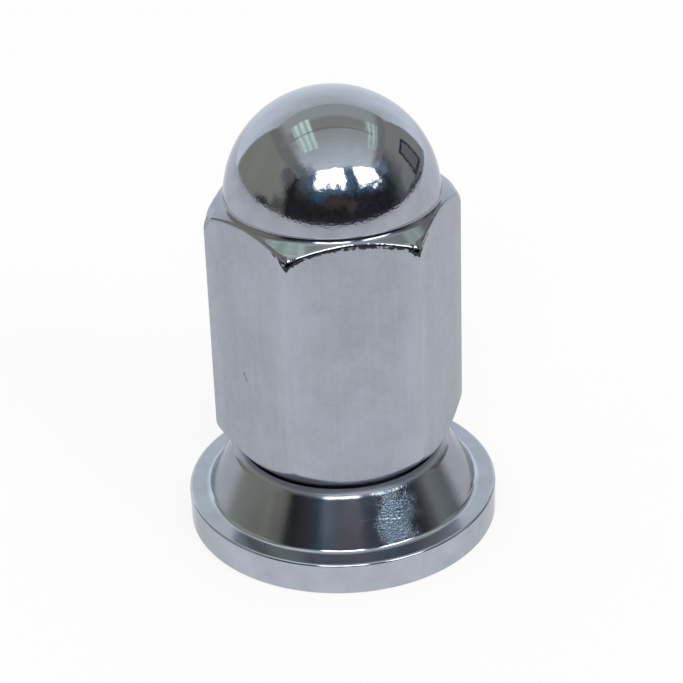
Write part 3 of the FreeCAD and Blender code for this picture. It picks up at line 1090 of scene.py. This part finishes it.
def make_walls(dark):
    """The ceiling, the four walls, and the dark floor in front of the sheet."""
    corner = (LEFT_WALL, FRONT_WALL, ROOM_LOW)
    width = (RIGHT_WALL - LEFT_WALL, 0, 0)
    depth = (0, BACK_WALL - FRONT_WALL, 0)
    upright = (0, 0, ROOM_HEIGHT - ROOM_LOW)
    to_sheet = (0, SHEET_FRONT - FRONT_WALL, 0)
    plain = wall_material("back_wall", ("Z", (0, ROOM_HEIGHT), OLIVE, OLIVE_HEAD))
    return [
        pane("ceiling", (LEFT_WALL, FRONT_WALL, ROOM_HEIGHT), width, depth, ceiling_material()),
        pane("left_wall", corner, depth, upright, left_wall_material()),
        pane("right_wall", (RIGHT_WALL, FRONT_WALL, ROOM_LOW), depth, upright, right_wall_material()),
        pane("back_wall", (LEFT_WALL, BACK_WALL, ROOM_LOW), width, upright, plain),
        pane("front_wall", corner, width, upright, front_material()),
        pane("front_floor", (LEFT_WALL, FRONT_WALL, FRONT_FLOOR), width, to_sheet, dark),
    ]


def overhead(name, place, height, material):
    """A lamp or beam under the ceiling."""
    corner, width, depth = place
    return pane(name, (*corner, height), (*width, 0), (*depth, 0), material)


def make_backdrop():
    """The pale sheet that stands behind the nut."""
    cloth = wall_material("backdrop_cloth", ("Z", BACKDROP_FADE, BACKDROP_FOOT, BACKDROP_HEAD))
    width = (BACKDROP_RIGHT - BACKDROP_LEFT, 0, 0)
    return pane("backdrop", (BACKDROP_LEFT, BACKDROP_Y, 0), width, (0, 0, BACKDROP_TOP), cloth)


def make_picture(dark):
    """A picture with nothing in it, and the four dark bars of its frame."""
    along, up = (0, PICTURE_WIDTH, 0), (0, 0, PICTURE_HEIGHT)
    thin_along, thin_up = (0, PICTURE_BAR, 0), (0, 0, PICTURE_BAR)
    low = (FRAME_X, PICTURE_Y, PICTURE_Z)
    top = (FRAME_X, PICTURE_Y, PICTURE_Z + PICTURE_HEIGHT - PICTURE_BAR)
    far = (FRAME_X, PICTURE_Y + PICTURE_WIDTH - PICTURE_BAR, PICTURE_Z)
    return [
        pane("picture", (PICTURE_X, PICTURE_Y, PICTURE_Z), along, up, glowing("print", PRINT_GREY)),
        pane("frame_low", low, along, thin_up, dark),
        pane("frame_top", top, along, thin_up, dark),
        pane("frame_near", low, thin_along, up, dark),
        pane("frame_far", far, thin_along, up, dark),
    ]


def make_room():
    """The room that polished chrome reflects: a backdrop, dull walls, lamps and windows."""
    dark = glowing("dark", NEAR_BLACK)
    room = [
        *make_walls(dark),
        overhead("left_lamp", LEFT_LAMP, LAMP_HEIGHT, lamp_material("left_lamp", brightness=1.18)),
        overhead("right_lamp", RIGHT_LAMP, LAMP_HEIGHT, lamp_material("right_lamp", brightness=0.95)),
        overhead("beam", BEAM, BEAM_HEIGHT, glowing("beam", BEAM_GREY)),
        make_backdrop(),
        *make_picture(dark),
    ]
    for thing in room:
        reflected_only(thing)


def make_window_light(name, span):
    """The soft daylight from one window. The window itself is drawn on the front wall."""
    data = bpy.data.lights.new(name, "AREA")
    data.shape = "RECTANGLE"
    data.size = span[1] - span[0]
    data.size_y = WINDOW_TOP - WINDOW_LOW
    data.energy = WINDOW_RADIANCE * math.pi * data.size * data.size_y
    lamp = linked(name, data)
    lamp.location = (sum(span) / 2, FRONT_WALL + 2 * LAYER, (WINDOW_LOW + WINDOW_TOP) / 2)
    lamp.rotation_euler = (UP, 0, 0)
    lamp.visible_glossy = False
    lamp.visible_camera = False


SOFT_LIGHT = 0.7


def make_world():
    """Plain white surroundings, softer as a light than as a background."""
    world = bpy.data.worlds.new("surroundings")
    world.use_nodes = True
    tree = world.node_tree
    tree.nodes.clear()
    seen = in_view(tree, add_node(tree, "ShaderNodeLightPath"))
    strength = ranged(tree, seen, RISE, (SOFT_LIGHT, 1.0))
    back = add_node(tree, "ShaderNodeBackground", Color=(*WHITE, 1), Strength=strength)
    add_node(tree, "ShaderNodeOutputWorld", Surface=back.outputs["Background"])
    bpy.context.scene.world = world


CAMERA_PLACE = Vector((-30.41, -195.32, 134.34)) * MM
CAMERA_HEADING = math.radians(-8.956)
CAMERA_DOWN = math.radians(30.326)
CAMERA_ROLL = math.radians(2.032)
CAMERA_LENS = 126.48


def make_camera():
    """The photograph's viewing angle."""
    data = bpy.data.cameras.new("camera")
    data.lens = CAMERA_LENS
    camera = linked("camera", data)
    heading = Matrix.Rotation(CAMERA_HEADING, 4, "Z")
    tilt = Matrix.Rotation(UP - CAMERA_DOWN, 4, "X")
    roll = Matrix.Rotation(-CAMERA_ROLL, 4, "Z")
    camera.matrix_world = Matrix.Translation(CAMERA_PLACE) @ heading @ tilt @ roll
    bpy.context.scene.camera = camera


# The rubbed patch on the cone, by its centre and reach, and the scratches in it, by their ends

RUBBED_PATCH = ((3.4, -11.3, 5.3), (2.2, 2.5, 3.5))
CONE_SCRATCHES = (
    ((-0.31, -11.68, 5.88), (1.61, -11.62, 5.79)),
    ((1.61, -11.62, 5.79), (3.57, -11.38, 5.44)),
)


def make_part():
    """The nut, its hole and the washer, each on its body and in place of its plain solid."""
    hidden = hidden_chrome()
    rough = turned_chrome("rough_turned", brightness=1, haze=(0.32, 0.42), lines=1.0, blur=0.3)
    nut = make_nut({
        "dome": polished_chrome(),
        "turned": turned_chrome("turned_chamfer", brightness=0.78, haze=(0.1, 0.16), lines=0.5, blur=0.3),
        # The rounded top edge, with painted shade on its lower part
        "edge": turned_chrome("shaded_edge", brightness=0.85, haze=(0.07, 0.14), lines=0.3, blur=0.0),
        "flats": drawn_chrome(),
        "rough": rough,
        "hidden": hidden,
    })
    hole = make_hole({"hidden": hidden})
    washer = make_washer({
        "flat": turned_chrome("turned_flange", brightness=1.02, haze=(0.13, 0.19), lines=0.2, blur=0.2),
        "side": turned_chrome("turned_side", brightness=1.15, haze=(0.06, 0.12), lines=0.1, blur=0.2),
        "cone": turned_chrome(
            "turned_cone", brightness=0.85, haze=(0.15, 0.19), lines=0.5, blur=0.6,
            rubbed=RUBBED_PATCH, scratches=CONE_SCRATCHES,
        ),
        "rough": rough,
        "hidden": hidden,
    })
    for piece in (nut, hole):
        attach(piece, "nut")
        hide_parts("nut_body")
    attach(washer, "washer")
    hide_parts("cone_washer")


make_part()
make_floor()
make_room()
make_window_light("left_light", LEFT_WINDOW)
make_window_light("right_light", RIGHT_WINDOW)
make_world()
make_camera()
bpy.context.scene.view_settings.view_transform = "Standard"
